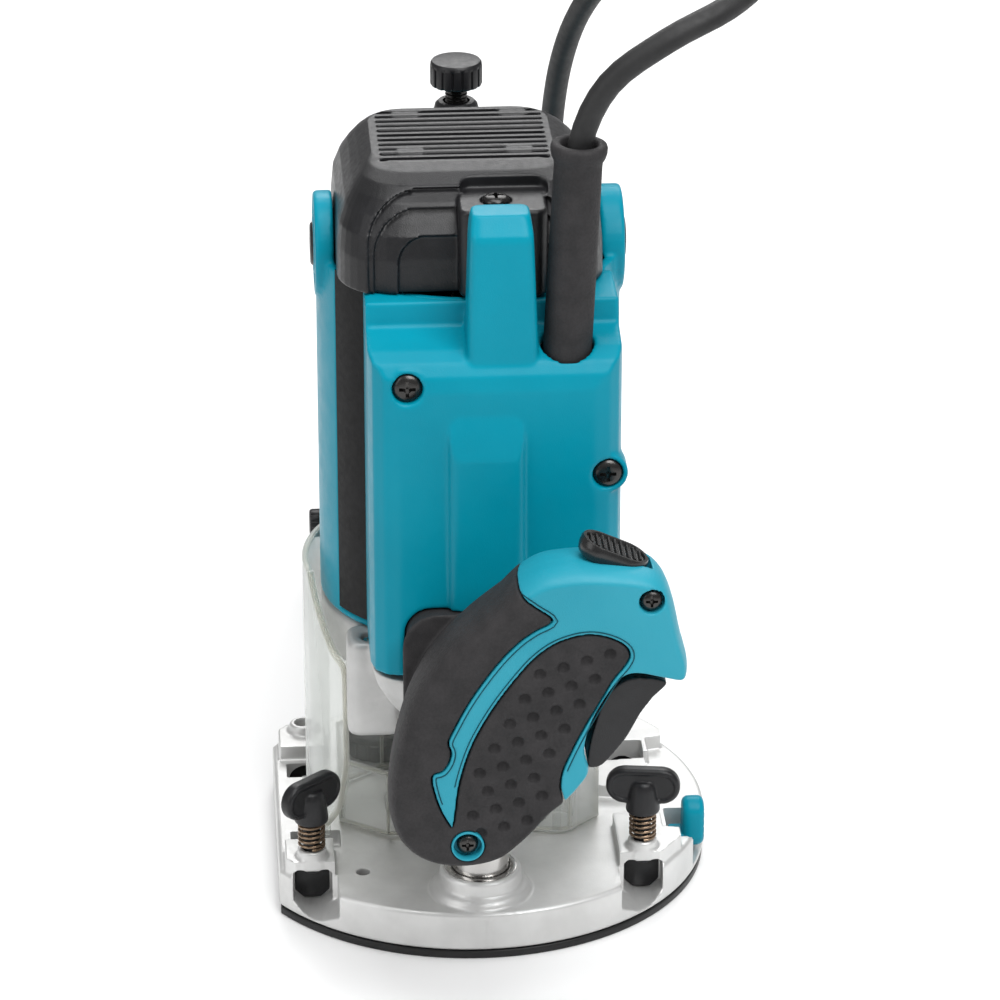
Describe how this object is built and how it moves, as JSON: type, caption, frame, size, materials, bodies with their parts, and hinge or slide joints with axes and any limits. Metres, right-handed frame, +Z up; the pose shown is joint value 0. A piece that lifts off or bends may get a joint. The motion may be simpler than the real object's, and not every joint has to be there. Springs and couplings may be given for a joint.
{
  "type": "plunge router",
  "caption": "Two-handled plunge router: a motor head slides on sprung columns over a round cast base, with a depth stop turret, side grips, clear chip guards and a mains lead",
  "frame": {"origin": "middle of the base's underside, on the surface that the router stands on", "axes": "+X towards the handle that holds the trigger, +Y towards the side of the base with the lock lever, away from its straight guide edge, +Z up along the columns and the spindle"},
  "size_m": [0.4294, 0.1719, 0.3493],
  "materials": {
    "cast_alloy": "silver painted die casting",
    "sole_black": "smooth phenolic sole plate",
    "bright_steel": "ground steel",
    "dark_steel": "blackened steel",
    "clear_plastic": "clear moulded plastic",
    "teal_plastic": "fine-grained glass-filled nylon",
    "black_plastic": "matt moulded plastic",
    "soft_rubber": "soft-touch rubber",
    "windings": "varnished windings and core",
    "copper": "turned copper segments",
    "carbon": "pressed carbon"
  },
  "bodies": {
    "base": {"base_casting": "cast_alloy", "base_plate": "sole_black", "column_right": "bright_steel", "column_left": "bright_steel", "limit_rod": "bright_steel", "chip_deflector": "clear_plastic", "dust_cover": "clear_plastic", "plunge_spring_right": "bright_steel", "plunge_spring_left": "bright_steel", "clamp_spring_front": "dark_steel", "clamp_spring_rear": "dark_steel", "cord_lead": "soft_rubber", "cord_coil": "soft_rubber", "plug": "black_plastic"},
    "head": {"motor_bracket": "cast_alloy", "motor_housing": "black_plastic", "side_band_right": "teal_plastic", "side_band_left": "teal_plastic", "top_cap": "black_plastic", "right_cover": "teal_plastic", "cord_guard": "soft_rubber", "stator": "windings", "bearing_lower": "bright_steel", "bearing_upper": "bright_steel", "brush_cap_front": "black_plastic", "brush_cap_rear": "black_plastic", "carbon_brush_front": "carbon", "carbon_brush_rear": "carbon", "grip_front_right": "soft_rubber", "grip_front_left": "soft_rubber", "grip_panel_right": "soft_rubber", "grip_panel_left": "soft_rubber", "handle_inner_right": "teal_plastic", "handle_inner_left": "teal_plastic", "handle_outer_right": "teal_plastic", "handle_outer_left": "teal_plastic", "handle_screw_upper": "bright_steel", "handle_screw_lower": "bright_steel", "cover_screw_front": "bright_steel", "cover_screw_rear": "bright_steel", "cap_screw": "bright_steel", "switch_body": "black_plastic"},
    "spindle": {"armature": "bright_steel", "commutator": "copper", "cooling_fan": "black_plastic", "collet_nut": "dark_steel"},
    "trigger": {"trigger": "black_plastic"},
    "lock_off": {"lock_off_button": "black_plastic"},
    "lock_lever": {"lock_lever": "black_plastic"},
    "stopper_pole": {"stopper_pole": "bright_steel"},
    "pole_nut": {"pole_setting_nut": "black_plastic"},
    "shaft_lock": {"shaft_lock_button": "black_plastic"},
    "turret": {"stopper_turret": "bright_steel", "stop_screw_1": "bright_steel", "stop_screw_2": "bright_steel", "stop_screw_3": "bright_steel"},
    "limit_knob": {"limit_knob": "black_plastic"},
    "wing_bolt_front": {"wing_bolt_front": "black_plastic"},
    "wing_bolt_rear": {"wing_bolt_rear": "black_plastic"},
    "lock_plate": {"lock_plate_lever": "teal_plastic"}
  },
  "joints": [
    {"name": "plunge", "type": "slide", "parent": "base", "child": "head", "axis": [0, 0, 1], "range_m": [-0.04, 0], "stiffness_N_per_m": 1000, "springref_m": 0.065, "deforming": ["plunge_spring_right", "plunge_spring_left"]},
    {"name": "spindle_spin", "type": "hinge", "parent": "head", "child": "spindle", "pos_m": [0, -0.0075, 0.05], "axis": [0, 0, 1], "continuous": true},
    {"name": "trigger_pull", "type": "hinge", "parent": "head", "child": "trigger", "pos_m": [0.1275, 0.0385, 0.135], "axis": [-1, 0, 0], "range_deg": [0, 8], "stiffness_Nm_per_rad": 0.8, "springref_deg": -6.88},
    {"name": "lock_off_press", "type": "slide", "parent": "head", "child": "lock_off", "axis": [0, 0, -1], "range_m": [0, 0.003], "stiffness_N_per_m": 300, "springref_m": -0.004},
    {"name": "lock_lever_turn", "type": "hinge", "parent": "head", "child": "lock_lever", "pos_m": [-0.066, 0.0165, 0.132], "axis": [0, 1, 0], "range_deg": [-25, 25]},
    {"name": "pole_slide", "type": "slide", "parent": "head", "child": "stopper_pole", "axis": [0, 0, 1], "range_m": [-0.004, 0.03]},
    {"name": "pole_nut_turn", "type": "hinge", "parent": "head", "child": "pole_nut", "pos_m": [-0.044, -0.0625, 0.111], "axis": [0, 1, 0], "continuous": true},
    {"name": "shaft_lock_press", "type": "slide", "parent": "head", "child": "shaft_lock", "axis": [0, -1, 0], "range_m": [0, 0.004], "stiffness_N_per_m": 500, "springref_m": -0.003},
    {"name": "turret_turn", "type": "hinge", "parent": "base", "child": "turret", "pos_m": [-0.044, -0.0385, 0.0183], "axis": [0, 0, 1], "continuous": true},
    {"name": "limit_knob_turn", "type": "hinge", "parent": "base", "child": "limit_knob", "pos_m": [-0.066, -0.0075, 0.2682], "axis": [0, 0, 1], "continuous": true},
    {"name": "wing_bolt_front_turn", "type": "hinge", "parent": "base", "child": "wing_bolt_front", "pos_m": [0.049, -0.0665, 0.04], "axis": [0, 0, 1], "continuous": true},
    {"name": "wing_bolt_rear_turn", "type": "hinge", "parent": "base", "child": "wing_bolt_rear", "pos_m": [0.049, 0.0515, 0.04], "axis": [0, 0, 1], "continuous": true},
    {"name": "lock_plate_pull", "type": "slide", "parent": "base", "child": "lock_plate", "axis": [0, 1, 0], "range_m": [0, 0.003], "stiffness_N_per_m": 400, "springref_m": -0.004}
  ]
}
